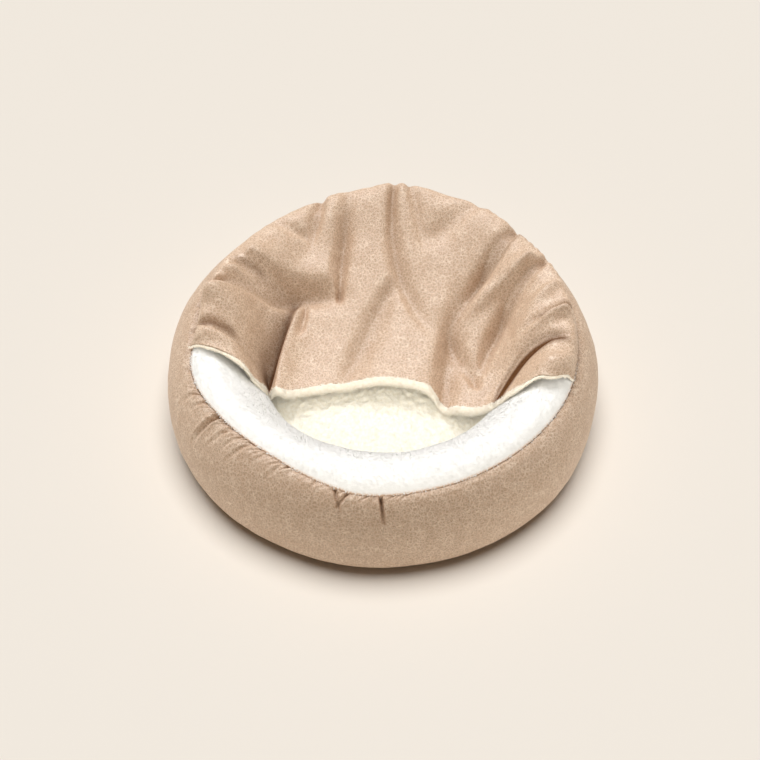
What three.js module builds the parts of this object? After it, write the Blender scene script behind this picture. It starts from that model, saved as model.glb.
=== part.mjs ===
import * as THREE from "three";

// A round hooded pet bed, in millimetres, +Z up. The origin is the middle of the
// base on the floor and the mouth faces -Y. Angles are in degrees from +X.

// Bolster ring, seen as one radial section
const OUTER_RADIUS = 300;
const BELT_HEIGHT = 72;
const CROWN_RADIUS = 232;
const CROWN_HEIGHT = 165;
const UPPER_ROUND = 2.08;
const LOWER_ROUND = 3;
const INNER_ROUND = 1.4;
const FOOT_RADIUS = 155;
const FOOT_OVAL = 6;
const FOOT_HEIGHT = 58;
const SPLIT_RADIUS = 215;

// Sewn seam between the outer wall and the plush, and the unevenness of the filled
// wall: two waves round the ring, by their counts, the second one's share and turn
const SEAM_GAP = 0.6;
const SEAM_DEPTH = 4;
const SEAM_SPREAD = 7;
const WALL_WAVE = 0.8;
const WALL_WAVES = 7;
const WALL_RIPPLES = 11;
const RIPPLE_SHARE = 0.7;
const RIPPLE_TURN = 40;

// Base panel and seat pad
const BASE_RADIUS = 246;
const BASE_THICKNESS = 2.6;
const BASE_GAP = 0.3;
const UNDERSIDE = BASE_THICKNESS + BASE_GAP;
const SEAT_GAP = 1.2;
const SEAT_CROWN = 76;
const SEAT_SHOULDER = 57;
const SEAT_DRAW_IN = 8;
const SEAT_UNEVEN = 1.6;
const SEAT_WAVE_X = 27;
const SEAT_WAVE_Y = 33;
const SEAT_WAVE_SHIFT = 0.6;
const SEAT_ROUND = 2.5;

// Hood cloth and its pile lining
const HOOD_START = -11;
const HOOD_END = 191;
const HOOD_THICKNESS = 2.5;
const LINING_GAP = 0.45;
const LINING_THICKNESS = 6;
const LINING_EDGE_THICKNESS = 8;
const LINING_PRESSED_THICKNESS = 3.5;
const LINING_SEAM_THICKNESS = 1.6;
const FREE_RADIUS = 195;
const PRESSED_RADIUS = 225;
const LINING_REACH = 6;
const HOOD_SAG = 1.5;
const ROLL_OFF = 7;
const SEAM_STAND_OFF = 1;
const REST_CLEARANCE = 1.8;
const REST_RAMP = 10;
const REST_SOFTNESS = 6;
const REST_CONTACT = 1.5;
const REST_PUFF = 8;
const FOLD_START = 0.12;
const FOLD_FADE = 0.5;
const FOLD_TIP = 0.4;
const FOLD_WIDENS = 0.35;
const PUFF_END = 0.7;
const EDGE_START = 0.85;
const LITTLE = 0.1;

// Mesh steps
const RING_COLUMNS = 84;
const SEAT_COLUMNS = 44;
const BASE_COLUMNS = 64;
const HOOD_COLUMNS = 62;
const HOOD_ROWS = 17;
const ROW_BEND = 0.35;
const ROW_EVENNESS = 0.12;
const PLEAT_CLEARANCE = 2.2;

// Rows of the sections, as shares of the way along each stretch of the skin
const WALL_UPPER_ROWS = [0, 0.07, 0.16, 0.28, 0.45, 0.66, 0.85];
const WALL_LOWER_ROWS = [0, 0.22, 0.42, 0.6, 0.76, 0.9];
const PLUSH_CROWN_ROWS = [0.25, 0.6, 1];
const PLUSH_INNER_ROWS = [0.13, 0.3, 0.5, 0.7, 0.87, 1];
const SEAT_TOP_RINGS = [0.22, 0.45, 0.66, 0.85, 1];
const SEAT_SIDE_RINGS = [0.72, 0.3];

// The ring's top seam, by angle round the ring: its radius, and how far the whole
// ring is raised there
const SEAM = [
  { at: -11, radius: 267, lift: 0 },
  { at: 15, radius: 265, lift: 3 },
  { at: 40, radius: 264, lift: 10 },
  { at: 65, radius: 264, lift: 13 },
  { at: 95, radius: 264, lift: 13 },
  { at: 120, radius: 262, lift: 7 },
  { at: 150, radius: 259, lift: 3 },
  { at: 179, radius: 254, lift: 0 },
  { at: 189, radius: 256, lift: 0 },
  { at: 197, radius: 263, lift: 0 },
  { at: 206, radius: 263, lift: 0 },
  { at: 220, radius: 257, lift: 0 },
  { at: 238, radius: 254, lift: 0 },
  { at: 250, radius: 258, lift: 0 },
  { at: 262, radius: 265, lift: 0 },
  { at: 270, radius: 269, lift: 0 },
  { at: 290, radius: 267, lift: 0 },
  { at: 320, radius: 265, lift: 0 },
  { at: 349, radius: 267, lift: 0 },
];

// Sections of the hood, one row each: the seam angle where it starts, the height
// that its crest swells towards, and where the cloth's top face ends at the front
const HOOD_SECTIONS = [
  { at: -11, crest: 168, x: 262, y: -52, z: 156 },
  { at: -4, crest: 178, x: 235, y: -72, z: 174 },
  { at: 5, crest: 187, x: 212, y: -74, z: 172 },
  { at: 14, crest: 194, x: 193, y: -76, z: 158 },
  { at: 24, crest: 202, x: 170, y: -72, z: 126 },
  { at: 34, crest: 205, x: 150, y: -62, z: 99 },
  { at: 45, crest: 201, x: 126, y: -64, z: 94 },
  { at: 55, crest: 211, x: 98, y: -57, z: 94 },
  { at: 64, crest: 218, x: 70, y: -41, z: 99 },
  { at: 73, crest: 212, x: 44, y: -36, z: 107 },
  { at: 82, crest: 219, x: 18, y: -35, z: 110 },
  { at: 91, crest: 225, x: -8, y: -36, z: 110 },
  { at: 101, crest: 212, x: -40, y: -40, z: 105 },
  { at: 112, crest: 206, x: -72, y: -46, z: 97 },
  { at: 123, crest: 196, x: -104, y: -53, z: 93 },
  { at: 134, crest: 192, x: -131, y: -62, z: 94 },
  { at: 146, crest: 190, x: -155, y: -58, z: 94 },
  { at: 156, crest: 197, x: -164, y: -67, z: 118 },
  { at: 166, crest: 193, x: -181, y: -73, z: 160 },
  { at: 176, crest: 187, x: -207, y: -70, z: 175 },
  { at: 184, crest: 176, x: -232, y: -63, z: 174 },
  { at: 191, crest: 167, x: -256, y: -51, z: 159 },
];

// Folds of the hood, one row each: a line from its strong end (x0, y0) to its
// fading end (x1, y1) that bows to its left, its height (minus for a trough), and
// how far it spreads to the left and to the right of the line. A fold has the share
// FOLD_TIP of its spread where it starts, and all of it from FOLD_WIDENS on.
const FOLDS = [
  { name: "back_trough", x0: -8, y0: 272, x1: 90, y1: 18, bow: -34, rise: -17, left: 12, right: 11 },
  { name: "back_dimple_right", x0: 6, y0: 268, x1: 44, y1: 150, bow: 3, rise: -9, left: 10, right: 8 },
  { name: "back_dimple_left", x0: 130, y0: 240, x1: 20, y1: 158, bow: 0, rise: -9, left: 18, right: 14 },
  { name: "upright_trough", x0: -70, y0: 78, x1: -70, y1: 262, bow: 4, rise: -17, left: 10, right: 11 },
  { name: "upright_ridge", x0: -92, y0: 92, x1: -90, y1: 260, bow: 0, rise: 6, left: 26, right: 9 },
  { name: "short_trough", x0: -112, y0: 244, x1: -124, y1: 140, bow: 3, rise: -17, left: 9, right: 10 },
  { name: "short_arm", x0: -122, y0: 164, x1: -186, y1: 180, bow: 2, rise: -8, left: 9, right: 9 },
  { name: "big_ridge", x0: -214, y0: 112, x1: -40, y1: 106, bow: 2, rise: 11, left: 30, right: 9 },
  { name: "big_valley", x0: -226, y0: 92, x1: -20, y1: 92, bow: -2, rise: -21, left: 10, right: 18 },
  { name: "second_ridge", x0: -236, y0: 72, x1: -150, y1: 92, bow: 3, rise: 7, left: 8, right: 8 },
  { name: "second_valley", x0: -248, y0: 50, x1: -110, y1: 86, bow: 2, rise: -18, left: 8, right: 12 },
  { name: "shoulder_ridge", x0: -262, y0: 10, x1: -112, y1: 80, bow: 6, rise: 10, left: 12, right: 18 },
  { name: "left_plateau", x0: -272, y0: 20, x1: -142, y1: 10, bow: 0, rise: 17, left: 24, right: 20 },
  { name: "left_crease", x0: -156, y0: -110, x1: -122, y1: 112, bow: 9, rise: -25, left: 22, right: 8 },
  { name: "left_lip", x0: -140, y0: -90, x1: -118, y1: 92, bow: 8, rise: 9, left: 8, right: 18 },
  { name: "left_hem_valley", x0: -258, y0: -18, x1: -140, y1: -30, bow: -6, rise: -20, left: 9, right: 9 },
  { name: "left_hem_ridge", x0: -262, y0: -44, x1: -150, y1: -60, bow: 4, rise: 7, left: 9, right: 12 },
  { name: "curl", x0: -117, y0: 78, x1: -127, y1: 14, bow: 3, rise: -8, left: 8, right: 8 },
  { name: "middle_slope", x0: 6, y0: 124, x1: -60, y1: -90, bow: -4, rise: -12, left: 26, right: 14 },
  { name: "front_fold", x0: 92, y0: -100, x1: 100, y1: 160, bow: 6, rise: -13, left: 11, right: 20 },
  { name: "front_ridge", x0: 68, y0: -90, x1: 76, y1: 80, bow: 4, rise: 6, left: 24, right: 8 },
  { name: "right_valley_a", x0: 180, y0: 204, x1: 86, y1: 54, bow: -4, rise: -23, left: 10, right: 10 },
  { name: "right_finger", x0: 206, y0: 142, x1: 92, y1: 56, bow: -4, rise: 14, left: 9, right: 20 },
  { name: "right_valley_b", x0: 228, y0: 148, x1: 132, y1: -50, bow: -24, rise: -21, left: 10, right: 11 },
  { name: "right_gusset", x0: 140, y0: -38, x1: 66, y1: 86, bow: 0, rise: -11, left: 12, right: 10 },
  { name: "right_ridge", x0: 240, y0: 96, x1: 160, y1: -10, bow: -10, rise: 10, left: 12, right: 10 },
  { name: "right_short_valley", x0: 260, y0: 60, x1: 172, y1: 10, bow: -2, rise: -13, left: 8, right: 8 },
  { name: "right_shoulder", x0: 262, y0: 40, x1: 150, y1: -22, bow: -16, rise: 17, left: 12, right: 18 },
  { name: "right_crease", x0: 166, y0: -112, x1: 272, y1: 4, bow: 45, rise: -30, left: 10, right: 9 },
  { name: "right_hem_ridge", x0: 266, y0: -40, x1: 190, y1: -82, bow: -6, rise: 12, left: 20, right: 14 },
];

// Pleats and gathers of the outer wall, one row each: angle at the seam, how far
// it leans by its lower end, how far down the skin it runs (0 to 1) and its size
const PLEATS = [
  { at: 208.9, lean: -3, reach: 0.3, depth: 2, width: 1.6 },
  { at: 220.3, lean: -3, reach: 0.4, depth: 5.6, width: 1.8 },
  { at: 226.9, lean: -4, reach: 0.3, depth: 2.5, width: 1.6 },
  { at: 234.5, lean: -5, reach: 0.3, depth: 2.5, width: 1.6 },
  { at: 262.8, lean: 3, reach: 0.34, depth: 4.8, width: 1.5 },
  { at: 275.4, lean: 1, reach: 0.44, depth: 8, width: 1.4 },
];

const COLOURS = { suede: 0xdfc6ac, suede_base: 0xb59d84, plush: 0xfdfcf8, sherpa: 0xf5ecd9 };

const radians = (degrees) => (degrees * Math.PI) / 180;
const clamp = (value, low, high) => Math.min(high, Math.max(low, value));
const mix = (a, b, t) => a + (b - a) * t;
const ease = (t) => t * t * (3 - 2 * t);
const spread = (count) => Array.from({ length: count + 1 }, (_, i) => i / count);

// A smooth curve through one column of a table, by its "at" column
function tableValue(rows, column, at) {
  const last = rows.length - 1;
  let i = 0;
  while (i < last - 1 && at > rows[i + 1].at) i += 1;
  const slope = (k) => {
    const a = rows[Math.max(k - 1, 0)];
    const b = rows[Math.min(k + 1, last)];
    return (b[column] - a[column]) / (b.at - a.at);
  };
  const span = rows[i + 1].at - rows[i].at;
  const t = clamp((at - rows[i].at) / span, 0, 1);
  const s = 1 - t;
  return s * s * (1 + 2 * t) * rows[i][column] + t * t * (1 + 2 * s) * rows[i + 1][column]
    + t * s * span * (s * slope(i) - t * slope(i + 1));
}

// 0 at the mouth and 1 at the back; by the back seam the hood's cloth stands steep
function backness(angle) {
  return ease(clamp((Math.sin(radians(angle)) + 0.1) / 0.9, 0, 1));
}

// A column of the seam's table at any angle round the ring
function seamValue(column, angle) {
  const turn = ((angle - HOOD_START) % 360 + 360) % 360;
  return tableValue(SEAM, column, turn + HOOD_START);
}

function crownHeight(angle) {
  return CROWN_HEIGHT + seamValue("lift", angle);
}

function seamRadius(angle) {
  return seamValue("radius", angle);
}

function footRadius(angle) {
  return FOOT_RADIUS + FOOT_OVAL * Math.cos(radians(2 * angle));
}

// Height of the ring's skin outside its crown
function outerHeight(radius, angle) {
  const k = clamp((radius - CROWN_RADIUS) / (OUTER_RADIUS - CROWN_RADIUS), 0, 1);
  const rise = crownHeight(angle) - BELT_HEIGHT;
  return BELT_HEIGHT + rise * (1 - k ** UPPER_ROUND) ** (1 / UPPER_ROUND);
}

// Height of the ring's skin inside its crown, down to its foot at the seat
function innerHeight(radius, angle) {
  const k = clamp((CROWN_RADIUS - radius) / (CROWN_RADIUS - footRadius(angle)), 0, 1);
  const rise = crownHeight(angle) - FOOT_HEIGHT;
  return FOOT_HEIGHT + rise * (1 - k ** INNER_ROUND) ** (1 / INNER_ROUND);
}

function seatHeight(radius, angle) {
  const k = clamp(radius / (footRadius(angle) - SEAT_GAP), 0, 1);
  const rise = SEAT_CROWN - SEAT_SHOULDER;
  return SEAT_SHOULDER + rise * (1 - k ** SEAT_ROUND);
}

// The seam pulls the cloth down on both sides of it
function seamDip(radius, angle) {
  return SEAM_DEPTH * Math.exp(-(((radius - seamRadius(angle)) / SEAM_SPREAD) ** 2));
}

// Height of whatever lies under the hood at a place in plan
function restHeight(x, y) {
  const radius = Math.hypot(x, y);
  const angle = (Math.atan2(y, x) * 180) / Math.PI;
  if (radius >= CROWN_RADIUS) return outerHeight(radius, angle);
  if (radius >= footRadius(angle)) return innerHeight(radius, angle);
  return Math.max(FOOT_HEIGHT, seatHeight(radius, angle));
}

function ringPoint(radius, angle, z) {
  return [radius * Math.cos(radians(angle)), radius * Math.sin(radians(angle)), z];
}

// Depth of the wall's pleats: t is 0 at the seam and 1 at the floor
function pleatDepth(angle, t) {
  let depth = 0;
  for (const pleat of PLEATS) {
    const along = clamp(t / pleat.reach, 0, 1);
    const off = (angle - pleat.at - pleat.lean * along) / pleat.width;
    depth += pleat.depth * Math.exp(-off * off) * (1 - along * along);
  }
  return depth;
}

// Gentle unevenness of the filled wall
function wallWave(angle, t) {
  const waves = Math.sin(radians(WALL_WAVES * angle));
  const ripples = Math.sin(radians(WALL_RIPPLES * angle + RIPPLE_TURN));
  return WALL_WAVE * (waves + RIPPLE_SHARE * ripples) * Math.sin(Math.PI * clamp(t, 0, 1));
}

// Closed section of the outer wall from the seam, over the belt, to the floor
function wallSection(angle) {
  const seam = seamRadius(angle) + SEAM_GAP / 2;
  const reach = (seam - CROWN_RADIUS) / (OUTER_RADIUS - CROWN_RADIUS);
  const start = Math.acos(reach ** (UPPER_ROUND / 2));
  const rise = crownHeight(angle) - BELT_HEIGHT;
  const width = OUTER_RADIUS - CROWN_RADIUS;
  const points = [];
  for (const t of WALL_UPPER_ROWS) {
    const a = start * (1 - t);
    const inset = pleatDepth(angle, t / 2) - wallWave(angle, t / 2);
    const radius = CROWN_RADIUS + (width - inset) * Math.cos(a) ** (2 / UPPER_ROUND);
    const skin = BELT_HEIGHT + (rise - inset) * Math.sin(a) ** (2 / UPPER_ROUND);
    points.push([Math.max(radius, seam), skin - seamDip(radius, angle)]);
  }
  for (const t of WALL_LOWER_ROWS) {
    const a = (t * Math.PI) / 2;
    const inset = pleatDepth(angle, 0.5 + t / 2) - wallWave(angle, 0.5 + t / 2);
    const radius = CROWN_RADIUS + (width - inset) * Math.cos(a) ** (2 / LOWER_ROUND);
    const skin = BELT_HEIGHT * (1 - Math.sin(a) ** (2 / LOWER_ROUND));
    points.push([radius, Math.max(skin, UNDERSIDE)]);
  }
  points.push([SPLIT_RADIUS + SEAM_GAP / 2, UNDERSIDE]);
  return points.map(([radius, z]) => ringPoint(radius, angle, z));
}

// Closed section of the plush half from the seam, over the crown, to the seat
function plushSection(angle) {
  const seam = seamRadius(angle) - SEAM_GAP / 2;
  const foot = footRadius(angle);
  const points = [[seam, outerHeight(seam, angle) - seamDip(seam, angle)]];
  for (const t of PLUSH_CROWN_ROWS) {
    const radius = mix(seam, CROWN_RADIUS, t);
    points.push([radius, outerHeight(radius, angle) - seamDip(radius, angle)]);
  }
  for (const t of PLUSH_INNER_ROWS) {
    const radius = mix(CROWN_RADIUS, foot, t);
    points.push([radius, innerHeight(radius, angle)]);
  }
  points.push([foot, UNDERSIDE]);
  points.push([SPLIT_RADIUS - SEAM_GAP / 2, UNDERSIDE]);
  return points.map(([radius, z]) => ringPoint(radius, angle, z));
}

// Height the folds add to the hood at a place in plan. Across its bowed line each
// fold is a bell curve; it starts narrow and fades out over its second half.
function foldHeight(x, y) {
  let height = 0;
  for (const fold of FOLDS) {
    const runX = fold.x1 - fold.x0;
    const runY = fold.y1 - fold.y0;
    const length = Math.hypot(runX, runY);
    const t = ((x - fold.x0) * runX + (y - fold.y0) * runY) / (length * length);
    if (t <= 0 || t >= 1) continue;
    const arch = 4 * t * (1 - t);
    const taper = ease(clamp(t / FOLD_START, 0, 1)) * ease(clamp((1 - t) / FOLD_FADE, 0, 1));
    const off = ((y - fold.y0) * runX - (x - fold.x0) * runY) / length - fold.bow * arch;
    const widening = mix(FOLD_TIP, 1, clamp(t / FOLD_WIDENS, 0, 1));
    const width = (off > 0 ? fold.left : fold.right) * widening;
    height += fold.rise * taper * Math.exp(-((off / width) ** 2));
  }
  return height;
}

// Two heights joined by a soft maximum, so the hood lies on what is below it
function softMax(low, high, softness) {
  const gap = (high - low) / softness;
  if (gap > 20) return high;
  return low + softness * Math.log1p(Math.exp(gap));
}

// Thickness of the lining: thin in the seam, pressed flat over the ring and full
// where it hangs free, most of all at the front edge
function liningDepth(x, y, run, v) {
  const pressed = clamp((Math.hypot(x, y) - FREE_RADIUS) / (PRESSED_RADIUS - FREE_RADIUS), 0, 1);
  const front = ease(clamp((v - EDGE_START) / (1 - EDGE_START), 0, 1));
  const full = mix(LINING_THICKNESS, LINING_EDGE_THICKNESS, front);
  const laid = mix(full, LINING_PRESSED_THICKNESS, ease(pressed));
  return mix(LINING_SEAM_THICKNESS, laid, 1 - Math.exp(-run / REST_RAMP));
}

// Top face of the hood: v is 0 at the seam and 1 at the front edge
function hoodPoint(angle, v) {
  const radius = seamRadius(angle);
  const [seamX, seamY] = ringPoint(radius, angle, 0);
  const seamZ = outerHeight(radius, angle) + SEAM_STAND_OFF;
  const edgeX = tableValue(HOOD_SECTIONS, "x", angle);
  const edgeY = tableValue(HOOD_SECTIONS, "y", angle);
  const edgeZ = tableValue(HOOD_SECTIONS, "z", angle);
  const x = mix(seamX, edgeX, v);
  const y = mix(seamY, edgeY, v);
  const run = v * Math.hypot(edgeX - seamX, edgeY - seamY);
  const away = 1 - Math.exp(-run / REST_RAMP);
  const top = tableValue(HOOD_SECTIONS, "crest", angle);
  const sag = edgeZ + (top - edgeZ) * (1 - v) ** HOOD_SAG;
  const drape = sag - (top - seamZ) * Math.exp(-run / ROLL_OFF);
  const depth = liningDepth(x, y, run, v);
  const stack = HOOD_THICKNESS + LINING_GAP + depth + REST_CLEARANCE;
  const lowest = restHeight(x, y) + mix(SEAM_STAND_OFF, stack, away);
  const flat = ease(clamp((v - PUFF_END) / (1 - PUFF_END), 0, 1));
  const puff = REST_PUFF * away * (1 - flat);
  const puffed = softMax(lowest + puff, drape, REST_SOFTNESS * away + LITTLE);
  const z = softMax(lowest, puffed + foldHeight(x, y) * away, REST_CONTACT * away + LITTLE);
  return { x, y, z, run, angle, depth };
}

// A point of the hood moved down through the cloth; by the seam it also moves
// towards the middle of the bed, because the cloth stands steep there
function sunk(point, depth) {
  const lean = Math.exp(-point.run / (2 * ROLL_OFF)) * backness(point.angle);
  const size = Math.hypot(1, lean);
  const radius = Math.hypot(point.x, point.y) || 1;
  const inward = (depth * lean) / size / radius;
  return [point.x * (1 - inward), point.y * (1 - inward), point.z - depth / size];
}

// Rows crowd together near the seam, where the cloth turns sharply
function rowPlace(t) {
  const settle = (at) => at - ROW_BEND * Math.tanh(at / ROW_BEND);
  return mix(settle(t) / settle(1), t, ROW_EVENNESS);
}

function hoodGrid() {
  const rows = spread(HOOD_ROWS).map(rowPlace);
  return spread(HOOD_COLUMNS).map((s) => {
    const angle = mix(HOOD_START, HOOD_END, s);
    return rows.map((v) => hoodPoint(angle, v));
  });
}

// The lining's faces are the hood's grid moved down, without the seam row, and
// with a rounded front row that reaches past the cloth
function liningGrids(grid) {
  const down = HOOD_THICKNESS + LINING_GAP;
  const top = [];
  const bottom = [];
  grid.forEach((column) => {
    const inner = column.slice(1);
    const upper = inner.map((p) => sunk(p, down));
    const lower = inner.map((p) => sunk(p, down + p.depth));
    const end = upper[upper.length - 1];
    const before = upper[upper.length - 2];
    const run = Math.hypot(end[0] - before[0], end[1] - before[1]);
    const stepX = ((end[0] - before[0]) / run) * LINING_REACH;
    const stepY = ((end[1] - before[1]) / run) * LINING_REACH;
    const nose = column[column.length - 1].depth / 4;
    upper.push([end[0] + stepX, end[1] + stepY, end[2] - nose]);
    const under = lower[lower.length - 1];
    lower.push([under[0] + stepX, under[1] + stepY, under[2] + nose]);
    top.push(upper);
    bottom.push(lower);
  });
  return { top, bottom };
}

function geometryFrom(vertices, faces) {
  const geometry = new THREE.BufferGeometry();
  geometry.setAttribute("position", new THREE.Float32BufferAttribute(vertices.flat(), 3));
  geometry.setIndex(faces.flat());
  geometry.computeVertexNormals();
  return geometry;
}

// A closed body between two grids of points that share their rows and columns
function sheetGeometry(top, bottom) {
  const columns = top.length;
  const rows = top[0].length;
  const upper = (i, j) => i * rows + j;
  const lower = (i, j) => columns * rows + i * rows + j;
  const faces = [];
  for (let i = 0; i + 1 < columns; i += 1) {
    for (let j = 0; j + 1 < rows; j += 1) {
      faces.push([upper(i, j), upper(i + 1, j + 1), upper(i, j + 1)]);
      faces.push([upper(i, j), upper(i + 1, j), upper(i + 1, j + 1)]);
      faces.push([lower(i, j), lower(i, j + 1), lower(i + 1, j + 1)]);
      faces.push([lower(i, j), lower(i + 1, j + 1), lower(i + 1, j)]);
    }
  }
  for (let i = 0; i + 1 < columns; i += 1) {
    const j = rows - 1;
    faces.push([upper(i, 0), lower(i + 1, 0), upper(i + 1, 0)]);
    faces.push([upper(i, 0), lower(i, 0), lower(i + 1, 0)]);
    faces.push([upper(i, j), lower(i + 1, j), lower(i, j)]);
    faces.push([upper(i, j), upper(i + 1, j), lower(i + 1, j)]);
  }
  for (let j = 0; j + 1 < rows; j += 1) {
    const i = columns - 1;
    faces.push([upper(0, j), lower(0, j + 1), lower(0, j)]);
    faces.push([upper(0, j), upper(0, j + 1), lower(0, j + 1)]);
    faces.push([upper(i, j), lower(i, j), lower(i, j + 1)]);
    faces.push([upper(i, j), lower(i, j + 1), upper(i, j + 1)]);
  }
  return geometryFrom([...top.flat(), ...bottom.flat()], faces);
}

// A closed body from sections that go once round the ring. Sections that start at
// the seam run outwards on the wall and inwards on the plush, so the plush's faces
// are turned over; both pieces split their squares the same way where they meet.
function ringGeometry(sections, runsInwards) {
  const columns = sections.length;
  const rows = sections[0].length;
  const place = (i, j) => (i % columns) * rows + (j % rows);
  const faces = [];
  for (let i = 0; i < columns; i += 1) {
    for (let j = 0; j < rows; j += 1) {
      const near = [place(i, j), place(i + 1, j + 1), place(i + 1, j)];
      const far = [place(i, j), place(i, j + 1), place(i + 1, j + 1)];
      faces.push(runsInwards ? near.reverse() : near, runsInwards ? far.reverse() : far);
    }
  }
  return geometryFrom(sections.flat(), faces);
}

// A closed round body from rings of points between a top and a bottom middle
function discGeometry(topMiddle, rings, bottomMiddle) {
  const columns = rings[0].length;
  const place = (k, i) => 2 + k * columns + (i % columns);
  const faces = [];
  for (let i = 0; i < columns; i += 1) {
    faces.push([0, place(0, i), place(0, i + 1)]);
    faces.push([1, place(rings.length - 1, i + 1), place(rings.length - 1, i)]);
    for (let k = 0; k + 1 < rings.length; k += 1) {
      faces.push([place(k, i), place(k + 1, i), place(k + 1, i + 1)]);
      faces.push([place(k, i), place(k + 1, i + 1), place(k, i + 1)]);
    }
  }
  return geometryFrom([topMiddle, bottomMiddle, ...rings.flat()], faces);
}

function angles(count) {
  return Array.from({ length: count }, (_, i) => (360 * i) / count);
}

// Columns of both ring pieces: an even spread, with more across each wall pleat,
// and the same for both, so that the two meet along the same chords
function ringAngles() {
  const clear = (a) => PLEATS.every((p) => Math.abs(a - p.at) > PLEAT_CLEARANCE);
  const even = angles(RING_COLUMNS).filter(clear);
  const across = PLEATS.flatMap((p) => [-1, 0, 1].map((k) => p.at + k * p.width));
  return [...even, ...across].sort((a, b) => a - b);
}

function baseGeometry() {
  const ring = (radius, z) => angles(BASE_COLUMNS).map((a) => ringPoint(radius, a, z));
  const rings = [ring(BASE_RADIUS, BASE_THICKNESS), ring(BASE_RADIUS, 0)];
  return discGeometry([0, 0, BASE_THICKNESS], rings, [0, 0, 0]);
}

function seatGeometry() {
  const side = (angle) => footRadius(angle) - SEAT_GAP;
  const wave = (x, y) => Math.sin(x / SEAT_WAVE_X) * Math.cos(y / SEAT_WAVE_Y + SEAT_WAVE_SHIFT);
  const uneven = (x, y) => SEAT_UNEVEN * wave(x, y);
  const topRing = (k) => angles(SEAT_COLUMNS).map((a) => {
    const radius = k * (side(a) - SEAT_DRAW_IN);
    const [x, y] = ringPoint(radius, a, 0);
    return [x, y, seatHeight(radius, a) + uneven(x, y) * (1 - k * k)];
  });
  const sideRing = (drawIn, z) => angles(SEAT_COLUMNS).map((a) => ringPoint(side(a) - drawIn, a, z));
  const rings = [
    ...SEAT_TOP_RINGS.map(topRing),
    ...SEAT_SIDE_RINGS.map((share) => sideRing(0, SEAT_SHOULDER * share)),
    sideRing(SEAT_DRAW_IN, UNDERSIDE),
  ];
  return discGeometry([0, 0, SEAT_CROWN + uneven(0, 0)], rings, [0, 0, UNDERSIDE]);
}

function hoodGeometry(grid) {
  const top = grid.map((column) => column.map((p) => [p.x, p.y, p.z]));
  const bottom = grid.map((column) => column.map((p) => sunk(p, HOOD_THICKNESS)));
  return sheetGeometry(top, bottom);
}

function liningGeometry(grid) {
  const { top, bottom } = liningGrids(grid);
  return sheetGeometry(top, bottom);
}

function cloth(name, geometry, colour, roughness) {
  const material = new THREE.MeshStandardMaterial({ color: colour, roughness, metalness: 0 });
  material.name = name;
  const mesh = new THREE.Mesh(geometry, material);
  mesh.name = name;
  return mesh;
}

function buildBed() {
  const bed = new THREE.Group();
  bed.name = "hooded_pet_bed";
  const grid = hoodGrid();
  bed.add(cloth("base_panel", baseGeometry(), COLOURS.suede_base, 0.9));
  bed.add(cloth("outer_wall", ringGeometry(ringAngles().map(wallSection), false), COLOURS.suede, 0.85));
  bed.add(cloth("plush_ring", ringGeometry(ringAngles().map(plushSection), true), COLOURS.plush, 1));
  bed.add(cloth("seat_pad", seatGeometry(), COLOURS.sherpa, 1));
  bed.add(cloth("hood", hoodGeometry(grid), COLOURS.suede, 0.85));
  bed.add(cloth("hood_lining", liningGeometry(grid), COLOURS.sherpa, 1));
  return bed;
}

export default buildBed();
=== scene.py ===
import bpy
import numpy as np
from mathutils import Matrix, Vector


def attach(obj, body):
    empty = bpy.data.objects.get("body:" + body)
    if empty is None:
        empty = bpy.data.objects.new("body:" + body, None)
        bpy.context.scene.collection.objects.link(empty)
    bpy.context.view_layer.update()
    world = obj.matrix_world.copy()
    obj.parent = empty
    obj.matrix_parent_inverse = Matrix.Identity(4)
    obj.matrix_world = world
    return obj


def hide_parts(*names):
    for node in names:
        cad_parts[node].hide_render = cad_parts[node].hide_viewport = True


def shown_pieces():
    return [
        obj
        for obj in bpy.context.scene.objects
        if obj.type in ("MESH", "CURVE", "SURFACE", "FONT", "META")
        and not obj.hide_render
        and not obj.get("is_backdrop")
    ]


# A round hooded pet bed in metres, +Z up. The origin is the middle of the base on the
# floor and the mouth faces -Y. Angles round the ring are in degrees from +X.

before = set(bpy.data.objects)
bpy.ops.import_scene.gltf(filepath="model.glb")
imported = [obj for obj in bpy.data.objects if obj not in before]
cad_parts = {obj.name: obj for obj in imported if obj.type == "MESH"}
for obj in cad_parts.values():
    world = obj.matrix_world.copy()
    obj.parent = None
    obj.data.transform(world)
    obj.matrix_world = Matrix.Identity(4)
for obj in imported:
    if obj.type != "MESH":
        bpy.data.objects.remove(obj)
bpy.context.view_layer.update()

# Bolster ring, seen as one radial section
OUTER_RADIUS = 0.300
BELT_HEIGHT = 0.072
CROWN_RADIUS = 0.232
CROWN_HEIGHT = 0.165
UPPER_ROUND = 2.08
LOWER_ROUND = 3.0
INNER_ROUND = 1.4
FOOT_RADIUS = 0.155
FOOT_OVAL = 0.006
FOOT_HEIGHT = 0.058
SPLIT_RADIUS = 0.215

# Two waves round the filled wall: their size and counts, the second's share and turn
WALL_WAVE = 0.0008
WALL_WAVES = 7
WALL_RIPPLES = 11
RIPPLE_SHARE = 0.7
RIPPLE_TURN = 40

# Sewn seam between the outer wall and the plush
SEAM_GAP = 0.0006
SEAM_DEPTH = 0.004
SEAM_SPREAD = 0.007
STITCH_DEPTH = 0.0016
STITCH_SPREAD = 0.0014

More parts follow.
